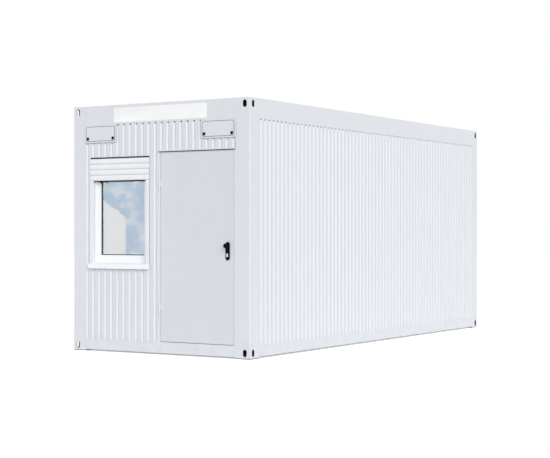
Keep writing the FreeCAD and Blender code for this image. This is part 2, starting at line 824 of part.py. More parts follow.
def window_sill():
    """A bent sheet that slopes out from under the window frame and turns down over the wall."""
    body = new_body("window_sill", window_left, front, size.window_bottom)
    over, sheet, rise = size.sill_overhang, size.sill_steel, size.sill_rise
    reach, depth, lip = size.sill_reach, size.frame_recess, size.sill_lip
    section = sketch_on(body, "YZ_Plane", -over)
    outline(section, [(-reach, -lip), (-reach, 0), (depth, rise), (depth, rise - sheet),
                      (-reach + sheet, -sheet), (-reach + sheet, -lip)])
    pad(body, section, window_width + over * 2)
    ends = sketch_on(body, "XY_Plane", -lip)
    rectangle(ends, -over, 0, over, depth)
    rectangle(ends, window_width, 0, over, depth)
    pocket(body, ends, lip + rise, reverse=True)


# Service hatches


def hatches():
    """Two hatches on the wall under the top rail: frame, flap and two latches each."""
    frames, flaps, latches = [], [], []
    low = rail_level - size.hatch_height
    margin = (size.hatch_width - size.flap_width) / 2
    rise = (size.hatch_height - size.flap_height) / 2
    corners = {"left": left + size.hatch_margin, "right": right - size.hatch_margin - size.hatch_width}
    for name, corner in corners.items():
        frame = new_body(f"hatch_frame_{name}", corner, front, low, keep=False)
        face = sketch_on(frame, "XZ_Plane")
        outline(face, [(0, 0, size.hatch_corner), (size.hatch_width, 0, size.hatch_corner),
                       (size.hatch_width, size.hatch_height), (0, size.hatch_height)])
        pad(frame, face, size.hatch_reach)
        gap = size.flap_gap
        recess = sketch_on(frame, "XZ_Plane", size.hatch_reach)
        rectangle(recess, margin - gap, rise - gap, size.flap_width + gap * 2, size.flap_height + gap * 2,
                  size.flap_corner + gap)
        pocket(frame, recess, size.hatch_reach - (size.flap_reach - size.flap_depth))
        frames.append(frame)
        flap = new_body(f"hatch_flap_{name}", corner, front, low, keep=False)
        door = sketch_on(flap, "XZ_Plane", size.flap_reach - size.flap_depth)
        rectangle(door, margin, rise, size.flap_width, size.flap_height, size.flap_corner)
        pad(flap, door, size.flap_depth)
        flaps.append(flap)
        for end, inset in (("a", size.latch_inset), ("b", size.flap_width - size.latch_inset)):
            latch = new_body(f"hatch_latch_{name}_{end}", corner, front - size.flap_reach, low, keep=False)
            button = sketch_on(latch, "XZ_Plane")
            rectangle(button, margin + inset - size.latch_width / 2,
                      rise + size.latch_level - size.latch_height / 2, size.latch_width, size.latch_height)
            pad(latch, button, size.latch_depth)
            latches.append(latch)
    group("hatch_frames", frames)
    group("hatch_flaps", flaps)
    group("hatch_latches", latches)


upper_slot_level = size.casting_height - size.slot_level
for name, corner in CORNERS.items():
    corner_casting(f"casting_bottom_{name}", corner, Length.of(0), size.slot_level, False)
    corner_casting(f"casting_top_{name}", corner, ceiling_level, upper_slot_level, True)
    corner_post(f"corner_post_{name}", corner)
for name, side in SIDES.items():
    bottom_rail(f"bottom_rail_{name}", side)
    top_rail(f"top_rail_{name}", side)
plain_wall("left_wall", SIDES["left"], size.side_pitch)
plain_wall("right_wall", SIDES["right"], size.side_pitch)
plain_wall("back_wall", SIDES["back"], size.end_pitch)
front_wall()
slab("floor_deck", floor_level - size.floor_depth, floor_level, size.wall_depth)
slab("ceiling_panel", ceiling_level, roof_level, size.wall_depth)
roof()
door_frame()
door_leaf()
hinges()
lock()
drip_rail()
window()
shutter_box()
shutter_guides()
window_sill()
hatches()

doc.recompute()
for item in doc.Objects:
    if "Invalid" in item.State or "Error" in item.State:
        body = item.getParentGeoFeatureGroup()
        raise RuntimeError(f"{item.Label} of {body.Label if body else doc.Label} is {item.State}")
    if item.TypeId == "PartDesign::Pocket" and item.Shape.Volume > item.BaseFeature.Shape.Volume - 1:
        raise RuntimeError(f"{item.Label} cuts nothing")
for label, item in nodes.items():
    if item.Shape.isNull() or not item.Shape.isValid():
        raise RuntimeError(f"{label} has no valid shape")

os.makedirs("parts", exist_ok=True)
for label, item in nodes.items():
    item.Shape.exportStep(f"parts/{label}.step")
    box = item.Shape.BoundBox
    print(f"{label}: {len(item.Shape.Solids)} solid(s), {item.Shape.Volume / 1e6:.2f} l, "
          f"x {box.XMin:.1f}..{box.XMax:.1f} y {box.YMin:.1f}..{box.YMax:.1f} z {box.ZMin:.1f}..{box.ZMax:.1f}")
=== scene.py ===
"""Dresses the sanitary cabin: the finish of every modelled piece, and the small trim that goes on it.

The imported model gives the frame, in metres: X to the right along the front, Y from front to back, Z up.
Every added piece is a surface worked out as whole arrays, placed by the boxes of the modelled pieces.
"""

import logging
import math
from dataclasses import dataclass, field, replace
from enum import Enum
from functools import cached_property

import bpy
import numpy as np
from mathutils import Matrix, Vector


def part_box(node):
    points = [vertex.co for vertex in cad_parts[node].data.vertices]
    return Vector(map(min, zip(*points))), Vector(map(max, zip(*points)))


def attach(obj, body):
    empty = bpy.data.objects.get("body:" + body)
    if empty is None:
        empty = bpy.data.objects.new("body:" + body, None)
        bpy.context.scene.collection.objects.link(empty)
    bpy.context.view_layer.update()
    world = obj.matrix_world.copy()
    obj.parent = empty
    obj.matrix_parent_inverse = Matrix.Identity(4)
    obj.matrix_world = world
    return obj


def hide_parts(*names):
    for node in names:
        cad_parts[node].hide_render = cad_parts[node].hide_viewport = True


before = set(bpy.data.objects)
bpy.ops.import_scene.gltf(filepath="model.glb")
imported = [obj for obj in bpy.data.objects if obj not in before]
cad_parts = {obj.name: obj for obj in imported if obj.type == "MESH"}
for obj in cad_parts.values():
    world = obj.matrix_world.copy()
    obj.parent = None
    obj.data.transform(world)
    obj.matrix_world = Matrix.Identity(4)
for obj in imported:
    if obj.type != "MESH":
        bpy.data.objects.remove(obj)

log = logging.getLogger("cabin")

Shape = tuple[np.ndarray, list[tuple[int, ...]]]
Triple = tuple[float, float, float]
Color = Triple
Pair = tuple[float, float]
Socket = bpy.types.NodeSocket
Material = bpy.types.Material
Node = bpy.types.Node
Tree = bpy.types.NodeTree


class Body(str, Enum):
    """The two bodies that the pieces ride on."""

    CABIN = "container"
    DOOR = "door"


class Slot(str, Enum):
    """Names of the record's material slots, passed with the added pieces."""

    STEEL = "steel_white"
    PANE = "window_pane"
    FITTING = "handle_black"
    CYLINDER = "cylinder_metal"
    HATCH = "hatch_white"
    LATCH = "latch_black"
    HINGE = "hinge_paint"


# Surfaces


def stacked_rings(rings: np.ndarray, closed: bool = False) -> Shape:
    """Joins rings of points into one closed surface.

    Ring i and ring i + 1 are joined by a band of quads. A closed stack joins its last ring to its first,
    as in a frame-shaped seal, and an open one ends in two flat caps.

    Args:
        rings: points as (ring, point on the ring, xyz).
        closed: whether the stack runs back into itself.

    Returns:
        The points and the faces, which look outward.
    """
    count, around = rings.shape[:2]
    first = np.arange(count if closed else count - 1)[:, None]
    step = np.arange(around)[None, :]
    below, above = first * around, (first + 1) % count * around
    following = (step + 1) % around
    quads = np.stack([below + step, below + following, above + following, above + step], axis=-1)
    points = rings.reshape(-1, 3)
    faces = [tuple(face) for face in quads.reshape(-1, 4).tolist()]
    if not closed:
        faces.append(tuple(range(around - 1, -1, -1)))
        faces.append(tuple(range((count - 1) * around, count * around)))
    if enclosed_volume(points, quads.reshape(-1, 4)) < 0:
        faces = [tuple(reversed(face)) for face in faces]
    return points, faces


def enclosed_volume(points: np.ndarray, quads: np.ndarray) -> float:
    """Sums the signed volumes of the wedges from the middle of the points to every quad."""
    centred = points - points.mean(axis=0)
    a, b, c, d = (centred[quads[:, index]] for index in range(4))
    return float(np.einsum("ij,ij->i", np.cross(c - a, d - b), (a + b + c + d)).sum())


def joined(shapes: list[Shape]) -> Shape:
    """Several shapes as one, with each one's faces counted on from the points before it."""
    starts = np.cumsum([0] + [len(points) for points, _ in shapes])
    faces = [tuple(int(corner + start) for corner in face)
             for (_, own), start in zip(shapes, starts) for face in own]
    return np.concatenate([points for points, _ in shapes]), faces


@dataclass(frozen=True)
class Loop:
    """A rectangle with round or mitred corners, on a plane across one axis."""

    low: Pair
    high: Pair
    radius: float = 0.0
    arc_steps: int = 8

    def points(self, inset: np.ndarray) -> np.ndarray:
        """Walks round the rectangle at several insets.

        A round corner's points lie on an arc about its centre, whose radius shrinks by the inset.
        A sharp corner's point moves along its mitre.

        Args:
            inset: how far inside the rectangle each ring runs.

        Returns:
            Points as (inset, point on the ring, two coordinates), counter-clockwise from the low right.
        """
        signs = np.array([(1, -1), (1, 1), (-1, 1), (-1, -1)], float)
        low, high = np.array(self.low), np.array(self.high)
        corners = np.where(signs > 0, high, low)
        if self.radius == 0:
            return corners[None] - signs[None] * inset[:, None, None]
        turn = np.linspace(0, math.pi / 2, self.arc_steps)
        angles = np.arange(4)[:, None] * math.pi / 2 - math.pi / 2 + turn[None]
        ways = np.stack([np.cos(angles), np.sin(angles)], axis=-1)
        centres = (corners - signs * self.radius)[:, None]
        rings = [centres + ways * (self.radius - depth) for depth in inset]
        return np.array(rings).reshape(len(inset), -1, 2)


def arc(centre: Pair, reach: Pair, end: float, steps: int) -> np.ndarray:
    """Points on an ellipse: the centre plus reach times (cos, sin) of an angle from nought to end."""
    turn = np.linspace(0, end, steps)
    return np.array(centre) + np.array(reach) * np.stack([np.cos(turn), np.sin(turn)], axis=-1)


def at_depths(path: np.ndarray, depth: np.ndarray) -> np.ndarray:
    """Rings of (x, y, z) points, from rings of (x, z) points and the y of each ring."""
    return np.stack([path[..., 0], np.broadcast_to(depth[:, None], path.shape[:2]), path[..., 1]], axis=-1)


def trough(loop: Loop, profile: np.ndarray) -> Shape:
    """A closed profile carried down one side of a loop, along its bottom and up the other side.

    The path is the loop's two low corners between two points at its top, and each point of the path
    carries the whole profile.

    Args:
        loop: the rectangle, with round corners.
        profile: points of the section as (inset, y).

    Returns:
        The strip's points and faces, open at the top.
    """
    inset = profile[:, 0]
    corners = loop.points(inset).reshape(len(inset), 4, -1, 2)
    tops = [np.stack([edge, np.full(len(inset), loop.high[1])], axis=-1)[:, None]
            for edge in (loop.low[0] + inset, loop.high[0] - inset)]
    path = np.concatenate([tops[0], corners[:, 3], corners[:, 0], tops[1]], axis=1)
    return stacked_rings(at_depths(path, profile[:, 1]).transpose(1, 0, 2))


def seal(loop: Loop, profile: np.ndarray) -> Shape:
    """A closed profile of (inset, y) points carried all the way round a loop in the XZ plane."""
    return stacked_rings(at_depths(loop.points(profile[:, 0]), profile[:, 1]), closed=True)


def plate(loop: Loop, back: float, front: float, edge: float) -> Shape:
    """A plate from y = back to y = front whose front edge is rounded by a quarter circle of radius edge."""
    turn = np.linspace(0, math.pi / 2, 5)
    inset = np.concatenate([[0.0], edge * (1 - np.cos(turn))])
    way = math.copysign(1.0, front - back)
    depth = np.concatenate([[back], front - way * edge * (1 - np.sin(turn))])
    return stacked_rings(at_depths(loop.points(inset), depth))


def bar(section: np.ndarray, start: float, end: float) -> Shape:
    """A section of (y, z) points carried straight along x from start to end."""
    rings = np.empty((2, len(section), 3))
    rings[..., 0] = np.array([start, end])[:, None]
    rings[..., 1:] = section
    return stacked_rings(rings)


def turned(profile: np.ndarray, foot: Vector, axis: Vector, around: int = 20) -> Shape:
    """A profile of (radius, height) turned about an axis through its foot."""
    out = np.array(axis.normalized())
    side = np.array(axis.orthogonal().normalized())
    third = np.cross(out, side)
    angles = np.linspace(0, math.tau, around, endpoint=False)
    ways = np.cos(angles)[:, None] * side + np.sin(angles)[:, None] * third
    rings = np.array(foot) + profile[:, :1, None] * ways[None] + profile[:, 1:2, None] * out
    return stacked_rings(rings)


# Nodes of materials


class Graph:
    """A node tree that is filled from its inputs to its output."""

    def __init__(self, tree: Tree) -> None:
        """Starts with an empty tree."""
        self.tree = tree
        tree.nodes.clear()

    def add(self, kind: str, settings: dict | None = None, **inputs: object) -> Node:
        """Adds a node.

        Args:
            kind: the node's type, without its ShaderNode prefix.
            settings: the node's own properties.
            inputs: values or sockets for its inputs, by name with spaces as underscores.

        Returns:
            The node.
        """
        node = self.tree.nodes.new("ShaderNode" + kind)
        for name, value in (settings or {}).items():
            setattr(node, name, value)
        self.wire(node, **inputs)
        return node

    def group(self, tree: Tree, **inputs: object) -> Node:
        """Places a node group."""
        return self.add("Group", {"node_tree": tree}, **inputs)

    def wire(self, node: Node, **inputs: object) -> None:
        """Feeds a node's inputs, by name with spaces as underscores."""
        for name, value in inputs.items():
            self.feed(node.inputs[name.replace("_", " ")], value)

    def feed(self, socket: Socket, value: object) -> None:
        """Links a socket to another, or sets its value."""
        if isinstance(value, Socket):
            self.tree.links.new(value, socket)
        elif isinstance(value, tuple) and len(value) == 3 and socket.type == "RGBA":
            socket.default_value = (*value, 1.0)
        else:
            socket.default_value = value

    def math(self, operation: str, *values: object, clamp: bool = False) -> Socket:
        """One step of arithmetic on numbers or sockets."""
        node = self.add("Math", {"operation": operation, "use_clamp": clamp})
        for socket, value in zip(node.inputs, values):
            self.feed(socket, value)
        return node.outputs[0]

    def fold(self, operation: str, *values: object) -> Socket:
        """The values joined by one operation, from the first to the last."""
        result = values[0]
        for value in values[1:]:
            result = self.math(operation, result, value)
        return result

    def product(self, *values: object) -> Socket:
        """All the values multiplied."""
        return self.fold("MULTIPLY", *values)

    def blend(self, share: object, first: object, second: object) -> Socket:
        """A colour between two others."""
        node = self.add("Mix", {"data_type": "RGBA"})
        for index, item in ((0, share), (6, first), (7, second)):
            self.feed(node.inputs[index], item)
        return node.outputs[2]

    def spread(self, value: object, low: float, high: float) -> Socket:
        """A value from low to high, eased and limited, as one from nought to one."""
        node = self.add("MapRange", {"interpolation_type": "SMOOTHSTEP"})
        for index, item in enumerate((value, low, high, 0.0, 1.0)):
            self.feed(node.inputs[index], item)
        return node.outputs[0]

    def noise(self, place: object, scale: object, detail: float = 3.0,
              stretch: Triple = (1.0, 1.0, 1.0)) -> Socket:
        """Smooth noise about a place, stretched along the axes."""
        mapped = self.add("Mapping", Vector=place, Scale=stretch)
        return self.add("TexNoise", Vector=mapped.outputs[0], Scale=scale, Detail=detail).outputs[0]

    def apart(self, place: object) -> list[Socket]:
        """The three coordinates of a place."""
        return list(self.add("SeparateXYZ", Vector=place).outputs)

    def near(self, value: object, level: float, half_width: float) -> Socket:
        """One where a value is within half_width of a level, otherwise nought."""
        return self.math("LESS_THAN", self.math("ABSOLUTE", self.math("SUBTRACT", value, level)), half_width)

    def inside(self, place: Socket, half_x: float, half_y: float) -> Socket:
        """One where x and y are nearer the middle than half_x and half_y, otherwise nought."""
        x, y, _ = self.apart(place)
        return self.product(self.math("LESS_THAN", self.math("ABSOLUTE", x), half_x),
                            self.math("LESS_THAN", self.math("ABSOLUTE", y), half_y))

    def seen(self) -> Socket:
        """One for the rays that show a surface: from the camera, off gloss and through glass."""
        rays = self.add("LightPath").outputs
        return self.fold("MAXIMUM", rays["Is Camera Ray"], rays["Is Glossy Ray"], rays["Is Transmission Ray"])

    def relief(self, shader: Node, height: Socket, strength: float, edge: float = 0.0) -> None:
        """Feeds a shader's normal from a height in metres, over edges that look rounded by a radius."""
        bump = self.add("Bump", Strength=strength, Distance=1.0, Height=height)
        if edge:
            self.wire(bump, Normal=self.add("Bevel", {"samples": 4}, Radius=edge).outputs[0])
        self.wire(shader, Normal=bump.outputs[0])


def new_group(name: str, inputs: dict[str, float], outputs: list[str]) -> tuple[Graph, dict, dict]:
    """An empty node group with a Place input, number inputs and number outputs.

    Args:
        name: the group's name.
        inputs: the number inputs with their usual values.
        outputs: the names of the outputs.

    Returns:
        The group's graph, its input sockets and its output sockets, by name.
    """
    tree = bpy.data.node_groups.new(name, "ShaderNodeTree")
    graph = Graph(tree)
    tree.interface.new_socket("Place", in_out="INPUT", socket_type="NodeSocketVector")
    for label, value in inputs.items():
        socket = tree.interface.new_socket(label, in_out="INPUT", socket_type="NodeSocketFloat")
        socket.default_value = value
    for label in outputs:
        tree.interface.new_socket(label, in_out="OUTPUT", socket_type="NodeSocketFloat")
    start = tree.nodes.new("NodeGroupInput")
    end = tree.nodes.new("NodeGroupOutput")
    return graph, {item.name: item for item in start.outputs}, {item.name: item for item in end.inputs}


@dataclass
class Effects:
    """The effects that several materials share, each a node group that is built once."""

    peel_height: float = 0.000012
    wave_height: float = 0.0006
    splash_top: float = 0.42
    runs_share: float = 0.35

    @cached_property
    def grain(self) -> Tree:
        """Sprayed paint: the height of its orange peel on a slow waviness, and a slow change of tone."""
        graph, inputs, outputs = new_group("Paint grain", {"Peel": 1.0, "Waviness": 1.0}, ["Height", "Tone"])
        place = inputs["Place"]
        peel = graph.noise(place, 420.0, 2.0)
        slow = graph.noise(place, 1.7, 1.0, (1.0, 1.0, 0.45))
        fine = graph.product(peel, inputs["Peel"], self.peel_height)
        wave = graph.product(slow, inputs["Waviness"], self.wave_height)
        graph.feed(outputs["Height"], graph.math("ADD", fine, wave))
        graph.feed(outputs["Tone"], graph.noise(place, 5.0, 4.0, (1.0, 1.0, 0.3)))
        return graph.tree

    @cached_property
    def film(self) -> Tree:
        """Where dust settles: splash in patches near the ground, and thin runs down the sheet."""
        graph, inputs, outputs = new_group("Dust film", {"Splash": 1.0, "Runs": 1.0}, ["Mask"])
        place = inputs["Place"]
        low = graph.math("POWER", graph.spread(graph.apart(place)[2], self.splash_top, 0.0), 2.0)
        patches = graph.spread(graph.noise(place, 9.0, 6.0), 0.35, 0.75)
        splash = graph.product(low, patches, inputs["Splash"])
        runs = graph.spread(graph.noise(place, 14.0, 3.0, (1.0, 1.0, 0.04)), 0.58, 0.8)
        runs = graph.product(runs, patches, inputs["Runs"], self.runs_share)
        graph.feed(outputs["Mask"], graph.math("ADD", splash, runs, clamp=True))
        return graph.tree

    @cached_property
    def edges(self) -> Tree:
        """How much a point lies on an edge, in patches: the turn between the face's normal and a rounded one.
        Paint uses it to lighten edges as painted highlight and wear.
        """
        graph, inputs, outputs = new_group("Edge highlight and wear", {"Radius": 0.003}, ["Mask"])
        rounded = graph.add("Bevel", {"samples": 4}, Radius=inputs["Radius"])
        along = graph.add("VectorMath", {"operation": "DOT_PRODUCT"})
        graph.feed(along.inputs[0], rounded.outputs[0])
        graph.feed(along.inputs[1], graph.add("NewGeometry").outputs["Normal"])
        turn = graph.math("SUBTRACT", 1.0, along.outputs["Value"])
        patches = graph.spread(graph.noise(inputs["Place"], 30.0, 5.0), 0.45, 0.6)
        graph.feed(outputs["Mask"], graph.product(graph.spread(turn, 0.02, 0.2), patches))
        return graph.tree

    @cached_property
    def lines(self) -> Tree:
        """Fine lines from drawing or wiping, along z."""
        graph, inputs, outputs = new_group("Drawn lines", {"Fineness": 900.0}, ["Lines"])
        graph.feed(outputs["Lines"], graph.noise(inputs["Place"], inputs["Fineness"], 2.0, (1.0, 1.0, 0.02)))
        return graph.tree


def empty_material(name: str) -> tuple[Material, Graph]:
    """A material without nodes, and the graph that fills it."""
    material = bpy.data.materials.new(name)
    material.use_nodes = True
    return material, Graph(material.node_tree)


def darker(color: Color, share: float) -> Color:
    """A colour with each part taken down to a share of itself."""
    return tuple(share * part for part in color)


@dataclass(frozen=True)
class SheetEdges:
    """Where the borders of the wall panels are, for the sealed joint that runs round each of them, and for
    painted shade beside the right posts and at the tops of the grooves.
    """

    across: float
    along: float
    bottom: float
    top: float
    door_side: float
    sheet_x: float
    sheet_y: float
    half_width: float = 0.0012
    joint_color: Color = (0.58, 0.6, 0.63)
    # Painted shade: a wider dark band beside the right posts, and near black at the top of each groove.
    right_shade_width: float = 0.007
    right_shade_color: Color = (0.2, 0.205, 0.215)
    groove_top_shade_depth: float = 0.004
    groove_top_shade_height: float = 0.012
    groove_top_shade_color: Color = (0.05, 0.052, 0.056)

    def laid_over(self, color: Socket, graph: Graph, place: Socket) -> Socket:
        """The sheet's colour with its joint lines and painted shade over it.

        A thin joint runs where x, y or z is near a border. Beside the right posts a wider dark band is
        painted shade, for the shadow in that joint under light from the right, and the top of each groove,
        behind the face of the sheet, is painted near black as shade under the top rail.
        """
        x, y, z = graph.apart(place)
        borders = ((graph.math("ABSOLUTE", x), self.across), (graph.math("ABSOLUTE", y), self.along),
                   (z, self.bottom), (z, self.top), (x, self.door_side))
        joint = graph.fold("MAXIMUM", *(graph.near(part, level, self.half_width) for part, level in borders))
        # Painted shade under the top rail: near black at the top of each groove, behind the face of the
        # sheet.
        behind = graph.inside(place, self.sheet_x - self.groove_top_shade_depth, self.sheet_y - self.groove_top_shade_depth)
        plug = graph.product(behind, graph.math("GREATER_THAN", z, self.top - self.groove_top_shade_height))
        color = graph.blend(joint, color, self.joint_color)
        # Painted shade: a wider dark band in the joint beside the right posts, left in shadow by light from
        # the right.
        color = graph.blend(graph.near(x, self.across, self.right_shade_width), color, self.right_shade_color)
        return graph.blend(plug, color, self.groove_top_shade_color)


@dataclass(frozen=True)
class Finish:
    """What all finishes have: a name, a colour, and a material with one Principled shader."""

    name: str
    color: Color

    def build(self, effects: Effects) -> Material:
        """Builds the material, with the object's own coordinates for the place."""
        material, graph = empty_material(self.name)
        shader = graph.add("BsdfPrincipled")
        graph.add("OutputMaterial", Surface=shader.outputs[0])
        self.lay(graph, shader, graph.add("TexCoord").outputs["Object"], effects)
        return material

    def lay(self, graph: Graph, shader: Node, place: Socket, effects: Effects) -> None:
        """Feeds the shader."""
        raise NotImplementedError


@dataclass(frozen=True)
class PaintedSteel(Finish):
    """Sprayed paint on sheet, with orange peel, a slightly wavy sheet and dust low down, edges lightened in
    patches as painted highlight and wear, and painted shade along its lowest edge and in hollows where set.
    """

    roughness: float = 0.38
    peel: float = 1.0
    waviness: float = 0.6
    splash: float = 0.25
    runs: float = 0.2
    edge_radius: float = 0.0025
    joints: SheetEdges | None = None
    lining_and_shade: Color | None = None
    lining_and_shade_within: Triple = (1.17, 2.98, 2.68)
    shade_band_below: float = -1.0
    shade_band_color: Color = (0.12, 0.12, 0.125)
    tone_share: float = 0.982
    tone_matt: float = 0.06
    dust_color: Color = (0.42, 0.4, 0.37)
    dust_share: float = 0.6
    dust_matt: float = 0.35
    highlight_and_wear_color: Color = (0.9, 0.92, 0.94)
    highlight_and_wear_share: float = 0.5
    relief: float = 0.6
    coat: float = 0.12
    coat_roughness: float = 0.18

    def lay(self, graph: Graph, shader: Node, place: Socket, effects: Effects) -> None:
        """Feeds the shader. Behind the face an inner colour shows: a wall's inner board, and near-black
        painted shade in a casting's hollow.
        """
        grain = graph.group(effects.grain, Place=place, Peel=self.peel, Waviness=self.waviness)
        dust = graph.group(effects.film, Place=place, Splash=self.splash, Runs=self.runs).outputs["Mask"]
        edge = graph.group(effects.edges, Place=place, Radius=self.edge_radius).outputs["Mask"]
        tone, level = grain.outputs["Tone"], graph.apart(place)[2]
        color = graph.blend(graph.spread(tone, 0.3, 0.75), self.color, darker(self.color, self.tone_share))
        if self.joints is not None:
            color = self.joints.laid_over(color, graph, place)
        # Inner colour: a wall's inner board; in a casting, near-black painted shade for its hollow and slots.
        if self.lining_and_shade is not None:
            half_x, half_y, top = self.lining_and_shade_within
            within = graph.product(graph.inside(place, half_x, half_y), graph.math("LESS_THAN", level, top))
            color = graph.blend(within, color, self.lining_and_shade)
        # A dark band below a height: painted shade for the shadow along the lowest edge of the rails,
        # castings and drip rail.
        color = graph.blend(graph.math("LESS_THAN", level, self.shade_band_below), color, self.shade_band_color)
        color = graph.blend(graph.product(dust, self.dust_share), color, self.dust_color)
        # Lighter edges in patches: painted highlight on the rounded edges, laid out like wear.
        color = graph.blend(graph.product(edge, self.highlight_and_wear_share), color, self.highlight_and_wear_color)
        rough = graph.fold("ADD", self.roughness, graph.product(dust, self.dust_matt),
                           graph.product(tone, self.tone_matt))
        graph.wire(shader, Base_Color=color, Roughness=rough, Coat_Weight=self.coat,
                   Coat_Roughness=self.coat_roughness)
        graph.relief(shader, grain.outputs["Height"], self.relief, self.edge_radius)


@dataclass(frozen=True)
class Plastic(Finish):
    """Moulded or drawn plastic, rubber or powder coat, with a fine texture and a slow change of tone."""

    roughness: float
    texture: float = 0.000008
    scale: float = 600.0
    coat: float = 0.0
    coat_roughness: float = 0.12
    edge_radius: float = 0.0012
    dust: float = 0.2
    dust_color: Color = (0.45, 0.44, 0.42)
    specular: float = 0.5
    tone_share: float = 0.97
    tone_matt: float = 0.08
    relief: float = 0.7
    bands: Pair | None = None
    groove_half: float = 0.003
    groove_shade_color: Color = (0.5, 0.51, 0.53)

    def lay(self, graph: Graph, shader: Node, place: Socket, effects: Effects) -> None:
        """Feeds the shader."""
        dust = graph.group(effects.film, Place=place, Splash=1.0, Runs=1.0).outputs["Mask"]
        tone = graph.spread(graph.noise(place, 7.0, 4.0), 0.3, 0.7)
        color = graph.blend(tone, self.color, darker(self.color, self.tone_share))
        if self.bands is not None:
            # Darker lines in the grooves between the rounded bands: painted shade in the creases.
            color = graph.blend(self.groove(graph, place), color, self.groove_shade_color)
        color = graph.blend(graph.product(dust, self.dust), color, self.dust_color)
        rough = graph.math("ADD", self.roughness, graph.product(tone, self.tone_matt))
        graph.wire(shader, Base_Color=color, Roughness=rough, Specular_IOR_Level=self.specular,
                   Coat_Weight=self.coat, Coat_Roughness=self.coat_roughness)
        height = graph.product(graph.noise(place, self.scale, 2.0), self.texture)
        graph.relief(shader, height, self.relief, self.edge_radius)

    def groove(self, graph: Graph, place: Socket) -> Socket:
        """One in the grooves between the bands, where the height is near a whole number of pitches."""
        bottom, pitch = self.bands
        above = graph.math("SUBTRACT", graph.apart(place)[2], bottom)
        return graph.math("LESS_THAN", graph.math("PINGPONG", above, pitch / 2), self.groove_half)


@dataclass(frozen=True)
class BareMetal(Finish):
    """Metal that shows: zinc with its crystals, or nickel with fine drawn lines."""

    roughness: float
    crystals: float = 0.0
    lines: float = 0.0
    metallic: float = 1.0
    crystal_scale: float = 70.0
    crystal_share: float = 0.62
    crystal_matt: float = 0.2
    fineness: float = 900.0
    line_matt: float = 0.15
    height: float = 0.00003
    relief: float = 0.5

    def lay(self, graph: Graph, shader: Node, place: Socket, effects: Effects) -> None:
        """Feeds the shader. Each crystal has a grey and a gloss of its own."""
        cells = graph.add("TexVoronoi", Vector=place, Scale=self.crystal_scale)
        cell = graph.add("SeparateColor", Color=cells.outputs["Color"]).outputs[0]
        drawn = graph.group(effects.lines, Place=place, Fineness=self.fineness).outputs["Lines"]
        color = graph.blend(graph.product(cell, self.crystals), self.color,
                            darker(self.color, self.crystal_share))
        rough = graph.fold("ADD", self.roughness, graph.product(cell, self.crystal_matt * self.crystals),
                           graph.product(drawn, self.line_matt * self.lines))
        graph.wire(shader, Base_Color=color, Roughness=rough, Metallic=self.metallic)
        height = graph.math("ADD", graph.product(cell, self.height * self.crystals),
                            graph.product(drawn, self.height * self.lines))
        graph.relief(shader, height, self.relief)


@dataclass(frozen=True)
class SheetFloor(Finish):
    """Speckled sheet floor or coated board, with chips of two tones and a joint every so often."""

    chip: Color
    roughness: float
    joint_pitch: float
    joint_half: float = 0.0015
    joint_depth: float = 0.0006
    joint_share: float = 0.45
    tone_share: float = 0.8
    tone_weight: float = 0.25
    chip_matt: float = 0.08
    relief: float = 0.6

    def lay(self, graph: Graph, shader: Node, place: Socket, effects: Effects) -> None:
        """Feeds the shader. A joint is a thin line where y has moved on by one pitch."""
        chips = graph.spread(graph.noise(place, 260.0, 4.0), 0.56, 0.62)
        grain = graph.group(effects.grain, Place=place, Peel=2.0, Waviness=0.2)
        color = graph.blend(chips, self.color, self.chip)
        color = graph.blend(graph.product(grain.outputs["Tone"], self.tone_weight), color,
                            darker(self.color, self.tone_share))
        folded = graph.math("PINGPONG", graph.apart(place)[1], self.joint_pitch)
        joint = graph.math("LESS_THAN", folded, self.joint_half)
        color = graph.blend(joint, color, darker(self.color, self.joint_share))
        rough = graph.math("ADD", self.roughness, graph.product(chips, self.chip_matt))
        graph.wire(shader, Base_Color=color, Roughness=rough)
        height = graph.math("SUBTRACT", grain.outputs["Height"], graph.product(joint, self.joint_depth))
        graph.relief(shader, height, self.relief)


@dataclass(frozen=True)
class PaneGlass(Finish):
    """Float glass with a faint cool tint and a thin uneven film that dulls its gloss a little."""

    ior: float
    film_share: float = 0.9
    film_weight: float = 0.3
    film_matt: float = 0.05
    wave_height: float = 0.0006
    relief: float = 0.12

    def lay(self, graph: Graph, shader: Node, place: Socket, effects: Effects) -> None:
        """Feeds the shader."""
        film = graph.group(effects.film, Place=place, Splash=0.0, Runs=1.0).outputs["Mask"]
        color = graph.blend(graph.product(film, self.film_weight), self.color,
                            darker(self.color, self.film_share))
        graph.wire(shader, Base_Color=color, Roughness=graph.product(film, self.film_matt),
                   Transmission_Weight=1.0, IOR=self.ior)
        graph.relief(shader, graph.product(graph.noise(place, 2.5, 1.0), self.wave_height), self.relief)


def new_object(name: str, data: bpy.types.ID) -> bpy.types.Object:
    """An object in the scene's own collection."""
    item = bpy.data.objects.new(name, data)
    bpy.context.scene.collection.objects.link(item)
    return item


